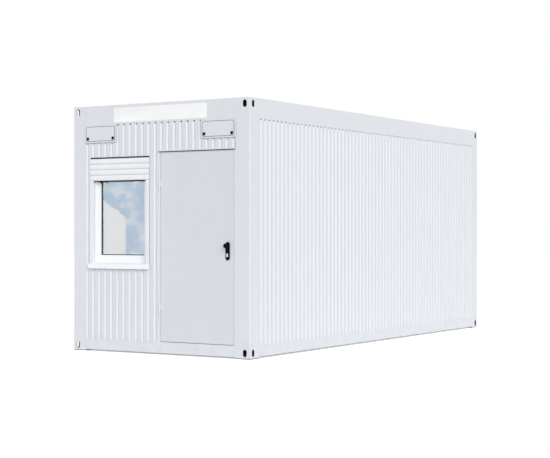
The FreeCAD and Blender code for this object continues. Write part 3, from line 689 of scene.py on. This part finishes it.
@dataclass
class Workshop:
    """Builds the finishes once, and puts finished pieces on their bodies."""

    effects: Effects
    finishes: dict[str, Material] = field(default_factory=dict)

    def finish(self, recipe: Finish) -> Material:
        """The material of a finish, built the first time that it is asked for."""
        if recipe.name not in self.finishes:
            self.finishes[recipe.name] = recipe.build(self.effects)
        return self.finishes[recipe.name]

    def piece(self, name: str, shape: Shape, recipe: Finish, slot: Slot, body: Body = Body.CABIN,
              smooth: float | None = 40.0, stands_for: tuple[str, ...] = ()) -> None:
        """Makes a piece of a shape and sets it on its body.

        Args:
            name: the piece's name.
            shape: its points and faces, in the cabin's frame.
            recipe: its finish.
            slot: not used.
            body: what it moves with.
            smooth: the largest turn between faces, in degrees, that is shaded as one surface.
            stands_for: the modelled pieces that it takes the place of.
        """
        points, faces = shape
        mesh = bpy.data.meshes.new(name)
        mesh.from_pydata(points.tolist(), [], faces)
        mesh.validate()
        if smooth is not None:
            mesh.polygons.foreach_set("use_smooth", np.ones(len(mesh.polygons), bool))
            mesh.set_sharp_from_angle(angle=math.radians(smooth))
        mesh.materials.append(self.finish(recipe))
        item = new_object(name, mesh)
        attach(item, body.value)
        if stands_for:
            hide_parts(*stands_for)
        log.info("%s: %d faces", name, len(faces))


# Finishes

STEEL_COLOR = (0.745, 0.775, 0.815)
# Heights of the dark bands of painted shade along the lowest edges of rails, castings and the drip rail.
RAIL_SHADE_BAND = 0.018
CASTING_SHADE_BAND = 0.009
DRIP_SHADE_BAND = 0.0035
SLOT_RIM = 0.0025

CASTING_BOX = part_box("casting_top_back_right")
SHUTTER_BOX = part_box("shutter_box")
WALL_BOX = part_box("right_wall")
FRONT_WALL_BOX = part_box("front_wall")
FRONT_FACE = FRONT_WALL_BOX[0].y

# Sheet joint lines, with the painted shade by the right posts and at the groove tops.
JOINTS_AND_SHADE = SheetEdges(
    across=abs(FRONT_WALL_BOX[0].x), along=WALL_BOX[1].y, bottom=WALL_BOX[0].z, top=WALL_BOX[1].z,
    door_side=FRONT_WALL_BOX[1].x, sheet_x=WALL_BOX[1].x, sheet_y=-FRONT_FACE,
)

FRAME_PAINT = PaintedSteel("frame paint", STEEL_COLOR, waviness=0.25, shade_band_below=RAIL_SHADE_BAND)
# Near black inside each casting: painted shade in its hollow, seen through the slots.
CASTING_PAINT = PaintedSteel(
    "casting paint", STEEL_COLOR, waviness=0.0, shade_band_below=CASTING_SHADE_BAND,
    lining_and_shade=(0.022, 0.022, 0.024), lining_and_shade_within=tuple(reach - SLOT_RIM for reach in CASTING_BOX[1]),
)
WALL_PAINT = PaintedSteel("wall sheet paint", (0.732, 0.756, 0.795), waviness=0.9, joints=JOINTS_AND_SHADE,
                          lining_and_shade=(0.78, 0.78, 0.76))
DOOR_PAINT = PaintedSteel("door paint", (0.70, 0.727, 0.767), roughness=0.34, waviness=0.5)
DRIP_PAINT = PaintedSteel("drip rail paint", STEEL_COLOR, waviness=0.0,
                          shade_band_below=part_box("drip_rail")[0].z + DRIP_SHADE_BAND)
HINGE_PAINT = PaintedSteel("hinge paint", STEEL_COLOR, waviness=0.0, edge_radius=0.001)
HATCH_PAINT = PaintedSteel("hatch paint", (0.745, 0.775, 0.812), waviness=0.3, edge_radius=0.0015, runs=0.1)
SILL_PAINT = PaintedSteel("sill powder coat", (0.92, 0.94, 0.965), roughness=0.3, waviness=0.1,
                          edge_radius=0.001)
ZINC = BareMetal("galvanised sheet", (0.5, 0.515, 0.535), 0.7, crystals=0.55, metallic=0.3)
NICKEL = BareMetal("nickel", (0.74, 0.73, 0.68), 0.24, lines=1.0)
SPACER_ZINC = BareMetal("spacer zinc", (0.68, 0.69, 0.7), 0.3, lines=0.6)
FLOOR = SheetFloor("sheet floor", (0.2, 0.215, 0.23), (0.3, 0.31, 0.32), 0.55, 1.98)
CEILING = SheetFloor("ceiling board", (0.8, 0.8, 0.78), (0.82, 0.82, 0.8), 0.6, 1.21)
PROFILE = Plastic("window profile", (0.92, 0.935, 0.955), 0.3, coat=0.2)
SHUTTER = Plastic("shutter profile", (0.895, 0.915, 0.945), 0.34, coat=0.15,
                  bands=(SHUTTER_BOX[0].z, (SHUTTER_BOX[1].z - SHUTTER_BOX[0].z) / 4))
GUIDE = Plastic("guide profile", (0.83, 0.85, 0.875), 0.34, coat=0.15)
BLACK = Plastic("black fittings", (0.003, 0.0034, 0.004), 0.5, texture=0.00002, scale=1400.0, dust=0.01,
                specular=0.05)
LATCH = replace(BLACK, name="latch plastic", color=(0.004, 0.0044, 0.005))
# Dark rubbers for seals; several of these seals are also painted shade, in gaps, round the shutter box and
# under the drip rail.
RUBBER_AND_SHADE = Plastic("seal rubber and shade", (0.012, 0.012, 0.013), 0.7, texture=0.00003, scale=1800.0, dust=0.05,
                 specular=0.2)
GREY_RUBBER = replace(RUBBER_AND_SHADE, name="grey seal rubber and shade", color=(0.055, 0.05, 0.047))
PALE_RUBBER = replace(RUBBER_AND_SHADE, name="pale seal rubber and shade", color=(0.3, 0.305, 0.315), roughness=0.6, specular=0.5)
FOIL = Plastic("white foil", (0.97, 0.975, 0.98), 0.28, scale=500.0, coat=0.25, dust=0.05)
GLASS = PaneGlass("float glass", (0.90, 0.945, 0.95), 1.75)

NODE_FINISHES = {
    CASTING_PAINT: ("casting_",),
    FRAME_PAINT: ("corner_post_", "bottom_rail_", "top_rail_", "door_frame"),
    WALL_PAINT: ("left_wall", "right_wall", "back_wall", "front_wall"),
    DOOR_PAINT: ("door_leaf",),
    DRIP_PAINT: ("drip_rail",),
    HINGE_PAINT: ("hinge_",),
    ZINC: ("roof_",),
    FLOOR: ("floor_deck",),
    CEILING: ("ceiling_panel",),
    PROFILE: ("window_frame", "window_sash"),
    GLASS: ("window_glass",),
    SILL_PAINT: ("window_sill",),
    SHUTTER: ("shutter_box",),
    GUIDE: ("shutter_guides",),
    HATCH_PAINT: ("hatch_frames", "hatch_flaps"),
    LATCH: ("hatch_latches",),
    BLACK: ("lock_plate", "door_knob", "inside_handle"),
    NICKEL: ("lock_cylinder",),
}


# Sub-assemblies


@dataclass
class Shell:
    """The modelled pieces of the cabin, each with its own finish."""

    work: Workshop

    def build(self) -> None:
        """Coats every modelled piece by the start of its name."""
        for node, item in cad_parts.items():
            recipe = next(recipe for recipe, starts in NODE_FINISHES.items() if node.startswith(starts))
            item.data.materials.clear()
            item.data.materials.append(self.work.finish(recipe))


@dataclass
class NameStrip:
    """The blank white foil strip on the front top rail."""

    work: Workshop
    left: float = -0.6295
    right: float = 0.6575
    bottom: float = 2.622
    top: float = 2.787
    thick: float = 0.0008
    edge: float = 0.00032
    corner: float = 0.012

    def build(self) -> None:
        """A thin plate with round corners on the rail's face."""
        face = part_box("top_rail_front")[0].y
        loop = Loop((self.left, self.bottom), (self.right, self.top), self.corner)
        self.work.piece("name_strip", plate(loop, face, face - self.thick, self.edge), FOIL, Slot.STEEL)


@dataclass
class Glazing:
    """The insulating unit in the sash: two panes, the spacer between them and the seals round them."""

    work: Workshop
    pane_thick: float = 0.004
    pane_edge: float = 0.0004
    spacer_wide: float = 0.008
    seal_face: float = 0.010
    seal_and_shade_reveal: float = 0.013
    seal_share: float = 0.9

    def build(self) -> None:
        """Builds the panes, the spacer and the seals."""
        low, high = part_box("window_glass")
        near, far = low.y + self.pane_thick, high.y - self.pane_thick
        loop = Loop((low.x, low.z), (high.x, high.z))
        panes = [plate(loop, near, low.y, self.pane_edge), plate(loop, far, high.y, self.pane_edge)]
        self.work.piece("glass_panes", joined(panes), GLASS, Slot.PANE, smooth=None,
                        stands_for=("window_glass",))
        spacer = np.array([(0.0, near), (self.spacer_wide, near), (self.spacer_wide, far), (0.0, far)])
        self.work.piece("glass_spacer", seal(loop, spacer), SPACER_ZINC, Slot.CYLINDER, smooth=None)
        sash_low, sash_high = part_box("window_sash")
        outside, inside = self.lip(low.y, sash_low.y), self.lip(high.y, sash_high.y)
        # The outer seal is real rubber whose dark run over the reveal is also painted shade there.
        self.work.piece("glass_seal", seal(loop, outside), GREY_RUBBER, Slot.FITTING)
        self.work.piece("glass_seal_inside", seal(loop, inside), GREY_RUBBER, Slot.FITTING)

    def lip(self, pane: float, sash: float) -> np.ndarray:
        """The seal's section: a rounded lip on the pane that runs a little way out along the sash; on the
        outside this dark run is also painted shade on the reveal.
        """
        reach = min(self.seal_and_shade_reveal, abs(sash - pane) * self.seal_share)
        edge = arc((0.0, pane), (self.seal_face, math.copysign(reach, sash - pane)), math.pi / 2, 6)
        return np.concatenate([edge, [(0.0, pane)]])


@dataclass
class ShutterTrim:
    """What shows of the rolled-up shutter: its last slat's lip and the seal over its box, black rubber that
    is also painted shade in the box's mouth and over it, and a black wedge at the left end that is painted
    shade.
    """

    work: Workshop
    lip_height: float = 0.010
    lip_thick: float = 0.007
    lip_inset: float = 0.022
    slot_middle: float = 0.017
    seal_height: float = 0.015
    seal_thick: float = 0.007
    seal_inset: float = 0.002
    wedge_right: float = 0.034
    wedge_wide: float = 0.040
    wedge_high: float = 0.026
    wedge_tip: float = 0.008

    def build(self) -> None:
        """Builds the lip and the shade wedge under the box, and the seal over it."""
        box_low, box_high = SHUTTER_BOX
        guide_low, guide_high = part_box("shutter_guides")
        half = self.lip_thick / 2
        middle, top, over = FRONT_FACE + self.slot_middle, box_low.z, box_high.z
        under = arc((middle, top - self.lip_height + half), (half, -half), math.pi, 9)
        section = np.concatenate([[(middle + half, top)], under, [(middle - half, top)]])
        lip = bar(section, guide_low.x + self.lip_inset, guide_high.x - self.lip_inset)
        # The lip: the last slat's rubber, dark also as painted shade in the box's mouth.
        self.work.piece("shutter_lip_and_shade", lip, RUBBER_AND_SHADE, Slot.FITTING)
        self.stop(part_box("window_glass")[0].x + self.wedge_right, top)
        bead = arc((FRONT_FACE, over), (-self.seal_thick, self.seal_height), math.pi / 2, 6)
        bead = bar(np.concatenate([[(FRONT_FACE, over)], bead]), box_low.x + self.seal_inset,
                   box_high.x - self.seal_inset)
        # The seal over the box: real rubber, dark also as painted shade in the joint above the box.
        self.work.piece("shutter_box_seal_and_shade", bead, RUBBER_AND_SHADE, Slot.FITTING)

    def stop(self, inner: float, top: float) -> None:
        """A black rubber wedge at the left end of the box, shaped as a slat stop: painted shade for the dark
        corner between the box and the sash.
        """
        outer, tip = inner - self.wedge_wide, inner - self.wedge_tip
        foot, back = top - self.wedge_high, FRONT_FACE + self.slot_middle
        rings = np.array([[(outer, y, top), (inner, y, top), (inner, y, foot), (tip, y, foot)]
                          for y in (back - self.lip_thick, back)])
        self.work.piece("shutter_stop_shade_wedge", stacked_rings(rings), RUBBER_AND_SHADE, Slot.FITTING, smooth=None)


@dataclass
class HatchTrim:
    """The seals round the hatch frames and their flaps, grey and black so that they are also painted shade in
    those gaps, the rivets of the frames and the latch buttons.
    """

    work: Workshop
    frame_seal: float = 0.003
    frame_seal_thick: float = 0.002
    frame_wide: float = 0.455
    frame_corner: float = 0.028
    flap_wide: float = 0.413
    flap_corner: float = 0.016
    gap: float = 0.003
    trim: float = 0.0007
    trim_proud: float = 0.0004
    rivet_inset: float = 0.011
    rivet_radius: float = 0.0042
    rivet_height: float = 0.0016
    rivet_dome: float = 0.92
    latch_half: float = 0.014
    latch_pitch: float = 0.363

    def build(self) -> None:
        """Builds a set of seals and rivets for each of the two hatches."""
        low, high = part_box("hatch_frames")
        flap_low, flap_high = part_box("hatch_flaps")
        outer, inner, rivets = [], [], []
        proud, front = FRONT_FACE - self.frame_seal_thick, flap_low.y - self.trim_proud
        strip = np.array([(-self.frame_seal, FRONT_FACE), (-self.frame_seal, proud), (0.0, proud),
                          (0.0, FRONT_FACE)])
        ring = np.array([(-self.gap, flap_high.y), (-self.gap, front), (self.trim, front),
                         (self.trim, flap_low.y + self.trim_proud)])
        dome = arc((0.0, 0.0), (self.rivet_radius, self.rivet_height), math.pi / 2 * self.rivet_dome, 5)
        for left in (low.x, high.x - self.frame_wide):
            right, flap_left = left + self.frame_wide, left + flap_low.x - low.x
            outer.append(trough(Loop((left, low.z), (right, high.z), self.frame_corner), strip))
            flap = Loop((flap_left, flap_low.z), (flap_left + self.flap_wide, flap_high.z), self.flap_corner)
            inner.append(seal(flap, ring))
            places = np.linspace(left + self.rivet_inset * 3, right - self.rivet_inset * 3, 4).tolist()
            rivets += [turned(dome, Vector((place, low.y, level)), Vector((0, -1, 0)), 14)
                       for level in (low.z + self.rivet_inset, high.z - self.rivet_inset) for place in places]
        # Seal rings that are real rubber and also painted shade in the gaps round the frames and flaps.
        self.work.piece("hatch_frame_seals_and_shade", joined(outer), PALE_RUBBER, Slot.LATCH)
        self.work.piece("hatch_flap_seals_and_shade", joined(inner), RUBBER_AND_SHADE, Slot.LATCH)
        self.work.piece("hatch_rivets", joined(rivets), HATCH_PAINT, Slot.HATCH)
        self.latch_buttons()

    def latch_buttons(self) -> None:
        """A raised turn button with a hollow in it on each latch."""
        low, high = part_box("hatch_latches")
        level, left, right = (low.z + high.z) / 2, low.x + self.latch_half, high.x - self.latch_half
        profile = np.array([(0.0095, 0.0), (0.0095, 0.0012), (0.0085, 0.002), (0.0012, 0.002),
                            (0.0012, 0.0008)])
        shapes = [turned(profile, Vector((place, low.y, level)), Vector((0, -1, 0)))
                  for place in (left, left + self.latch_pitch, right - self.latch_pitch, right)]
        self.work.piece("latch_buttons", joined(shapes), LATCH, Slot.LATCH)


@dataclass
class DoorTrim:
    """The door's seal on the frame's stop, the drip rail's lip, which is also painted shade, the hinge caps
    and the plugs of the lock.
    """

    work: Workshop
    gap: float = 0.005
    seal_foot: float = 0.009
    seal_height: float = 0.0045
    stop_width: float = 0.012
    cap_radius: float = 0.0085
    cap_height: float = 0.0028
    cap_dome: float = 0.94
    cap_clear: float = 0.0003
    knuckle_half: float = 0.0485
    lip_clear: float = 0.0008
    lip_inset: float = 0.001
    lip_thick: float = 0.005
    plug_drop: float = 0.0115
    keyway_half: Pair = (0.0011, 0.0045)
    keyway_corner: float = 0.0009
    keyway_proud: float = 0.0014
    keyway_edge: float = 0.0001

    def build(self) -> None:
        """Builds the seal, the lip, the caps and the plugs."""
        low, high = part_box("door_leaf")
        loop = Loop((low.x - self.gap, low.z - self.gap), (high.x + self.gap, high.z + self.gap))
        foot, reach = (self.stop_width / 2, high.y + self.gap), (self.seal_foot / 2, -self.seal_height)
        bulb = arc(foot, reach, math.pi, 9)
        self.work.piece("door_seal", seal(loop, bulb), RUBBER_AND_SHADE, Slot.FITTING)
        self.drip_lip_and_shade(high.z)
        self.hinge_caps()
        self.key_plugs()

    def drip_lip_and_shade(self, leaf_top: float) -> None:
        """The black rubber lip under the drip rail, dark also as painted shade under the rail, which ends
        just over the leaf so that the door can pass.
        """
        low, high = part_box("drip_rail")
        foot = leaf_top + self.lip_clear
        front = low.y + self.lip_inset
        back = front + self.lip_thick
        section = np.array([(front, low.z), (front, foot + self.lip_clear), (front + self.lip_clear, foot),
                            (back, foot), (back, low.z)])
        lip = bar(section, low.x + self.lip_inset, high.x - self.lip_inset)
        self.work.piece("drip_lip_and_shade", lip, RUBBER_AND_SHADE, Slot.FITTING, smooth=None)

    def hinge_caps(self) -> None:
        """A domed cap on the top of each knuckle and under each pin."""
        low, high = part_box("hinge_knuckles")
        dome = arc((0.0, 0.0), (self.cap_radius, self.cap_height), math.pi / 2 * self.cap_dome, 6)
        tops = (low.z + self.knuckle_half - self.cap_clear, high.z)
        bottoms = (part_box("hinge_pins")[0].z, high.z - self.knuckle_half * 2 + self.cap_clear)
        for name, levels, way, body in (("hinge_caps", tops, 1, Body.DOOR),
                                        ("hinge_foot_caps", bottoms, -1, Body.CABIN)):
            caps = [turned(dome, Vector((low.x + self.cap_radius, low.y + self.cap_radius, level)),
                           Vector((0, 0, way))) for level in levels]
            self.work.piece(name, joined(caps), HINGE_PAINT, Slot.HINGE, body)

    def key_plugs(self) -> None:
        """The round plug that the key turns, with a narrow dark keyway in it, on both sides."""
        low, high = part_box("lock_cylinder")
        x, z = (low.x + high.x) / 2, high.z - self.plug_drop
        half_x, half_z = self.keyway_half
        profile = np.array([(0.0072, 0.0), (0.0072, 0.0008), (0.0066, 0.0012), (0.001, 0.0012)])
        slit = Loop((x - half_x, z - half_z), (x + half_x, z + half_z), self.keyway_corner, 4)
        plugs, keyways = [], []
        for face, way in ((low.y, -1), (high.y, 1)):
            plugs.append(turned(profile, Vector((x, face, z)), Vector((0, way, 0)), 28))
            keyways.append(plate(slit, face, face + way * self.keyway_proud, self.keyway_edge))
        self.work.piece("key_plugs", joined(plugs), NICKEL, Slot.CYLINDER, Body.DOOR)
        self.work.piece("keyways", joined(keyways), BLACK, Slot.FITTING, Body.DOOR)


def flat_board(name: str, corners: list[Triple], material: Material) -> bpy.types.Object:
    """A single quad of one material."""
    mesh = bpy.data.meshes.new(name)
    mesh.from_pydata(corners, [], [(0, 1, 2, 3)])
    mesh.materials.append(material)
    return new_object(name, mesh)


@dataclass
class Studio:
    """The floor, the light and the camera of the photograph."""

    camera_place: Triple = (9.2969, -15.5875, 1.3737)
    camera_turn: float = 31.72
    lens: float = 91.17
    shift_up: float = 0.00496
    sight: float = 200.0
    key_strength: float = 2.02
    key_azimuth: float = 48.0
    key_elevation: float = 25.0
    key_angle: float = 40.0
    sky_color: Color = (0.985, 0.99, 1.0)
    sky_strength: float = 0.45
    floor_reach: float = 60.0
    floor_color: Color = (0.9, 0.9, 0.9)
    floor_glow: float = 0.54
    board_distance: float = 14.0
    board_half: Pair = (0.75, 1.15)
    board_strength: float = 8.6
    blue: Color = (0.42, 0.55, 0.72)
    cloud_color: Color = (0.80, 0.82, 0.85)
    cloud_scale: float = 6.3
    gable_color: Color = (0.85, 0.85, 0.865)
    gable_left: float = -0.042
    roof_level: float = 0.032
    roof_slope: float = 0.77

    def build(self) -> None:
        """Sets up the stage."""
        scene = bpy.context.scene
        scene.view_settings.view_transform = "Standard"
        self.camera(scene)
        self.world(scene)
        self.key()
        self.floor()
        self.reflected_sky()

    def camera(self, scene: bpy.types.Scene) -> None:
        """A level camera, so that uprights stay upright, shifted a little to frame the cabin."""
        data = bpy.data.cameras.new("camera")
        data.lens = self.lens
        data.sensor_fit = "HORIZONTAL"
        data.shift_y = self.shift_up
        data.clip_end = self.sight
        item = new_object("camera", data)
        item.location = self.camera_place
        item.rotation_euler = (math.pi / 2, 0.0, math.radians(self.camera_turn))
        scene.camera = item

    def world(self, scene: bpy.types.Scene) -> None:
        """White to the camera, in reflections and through glass, and a plain sky for the light."""
        world = bpy.data.worlds.new("studio")
        world.use_nodes = True
        graph = Graph(world.node_tree)
        sky = graph.add("Background", Color=self.sky_color, Strength=self.sky_strength)
        white = graph.add("Background", Color=(1.0, 1.0, 1.0), Strength=1.0)
        mixed = graph.add("MixShader")
        for socket, value in zip(mixed.inputs, (graph.seen(), sky.outputs[0], white.outputs[0])):
            graph.feed(socket, value)
        graph.add("OutputWorld", Surface=mixed.outputs[0])
        scene.world = world

    def key(self) -> None:
        """A soft sun over the near corner, on the front and the right side alike."""
        data = bpy.data.lights.new("key", "SUN")
        data.energy = self.key_strength
        data.angle = math.radians(self.key_angle)
        item = new_object("key", data)
        item.rotation_euler = (math.radians(90.0 - self.key_elevation), 0.0, math.radians(self.key_azimuth))

    def floor(self) -> None:
        """A wide pale floor that looks white where the light reaches it and keeps the cabin's shadow."""
        material, graph = empty_material("studio floor")
        matte = graph.add("BsdfDiffuse", Color=self.floor_color)
        strength = graph.product(graph.seen(), self.floor_glow)
        glow = graph.add("Emission", Color=(1.0, 1.0, 1.0), Strength=strength)
        total = graph.add("AddShader")
        graph.feed(total.inputs[0], matte.outputs[0])
        graph.feed(total.inputs[1], glow.outputs[0])
        graph.add("OutputMaterial", Surface=total.outputs[0])
        reach = self.floor_reach
        item = flat_board("floor", [(-reach, -reach, 0), (reach, -reach, 0), (reach, reach, 0),
                                    (-reach, reach, 0)], material)

    def reflected_sky(self) -> None:
        """A board that only reflections see, where the window pane mirrors the camera."""
        low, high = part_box("window_glass")
        pane = (low + high) / 2
        view = pane - Vector(self.camera_place)
        mirrored = Vector((view.x, -view.y, view.z)).normalized()
        centre = pane + mirrored * self.board_distance
        right = Vector((mirrored.y, -mirrored.x, 0)).normalized()
        half_across, half_up = self.board_half
        corners = [tuple(centre + right * half_across * side + Vector((0, 0, 1)) * half_up * rise)
                   for side, rise in ((-1, -1), (1, -1), (1, 1), (-1, 1))]
        item = flat_board("sky_board", corners, self.sky_picture())
        layer = item.data.uv_layers.new(name="board")
        layer.data.foreach_set("uv", np.array([0, 0, 1, 0, 1, 1, 0, 1], float))
        for ray in ("camera", "diffuse", "transmission", "volume_scatter", "shadow"):
            setattr(item, "visible_" + ray, False)

    def sky_picture(self) -> Material:
        """Clouds on blue, and a pale gable: to the right of gable_left, and below a roof line that slopes."""
        material, graph = empty_material("sky board")
        place = graph.add("UVMap", {"uv_map": "board"}).outputs[0]
        across, level = (graph.product(graph.math("SUBTRACT", share, 0.5), half * 2)
                         for share, half in zip(graph.apart(place), self.board_half))
        cloud = graph.spread(graph.noise(place, self.cloud_scale, 4.0, (1.0, 1.6, 1.0)), 0.42, 0.7)
        sky = graph.blend(cloud, self.blue, self.cloud_color)
        roof = graph.math("ADD", self.roof_level, graph.product(across, self.roof_slope))
        gable = graph.product(graph.math("LESS_THAN", level, roof),
                              graph.math("GREATER_THAN", across, self.gable_left))
        color = graph.blend(gable, sky, self.gable_color)
        glow = graph.add("Emission", Color=color, Strength=self.board_strength)
        graph.add("OutputMaterial", Surface=glow.outputs[0])
        return material


def main() -> None:
    """Builds the stage and the sub-assemblies in order."""
    logging.basicConfig(level=logging.INFO, format="%(name)s %(message)s")
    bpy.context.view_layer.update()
    Studio().build()
    work = Workshop(Effects())
    for assembly in (Shell, NameStrip, Glazing, ShutterTrim, HatchTrim, DoorTrim):
        log.info("building %s", assembly.__name__)
        assembly(work).build()


if __name__ == "__main__":
    main()
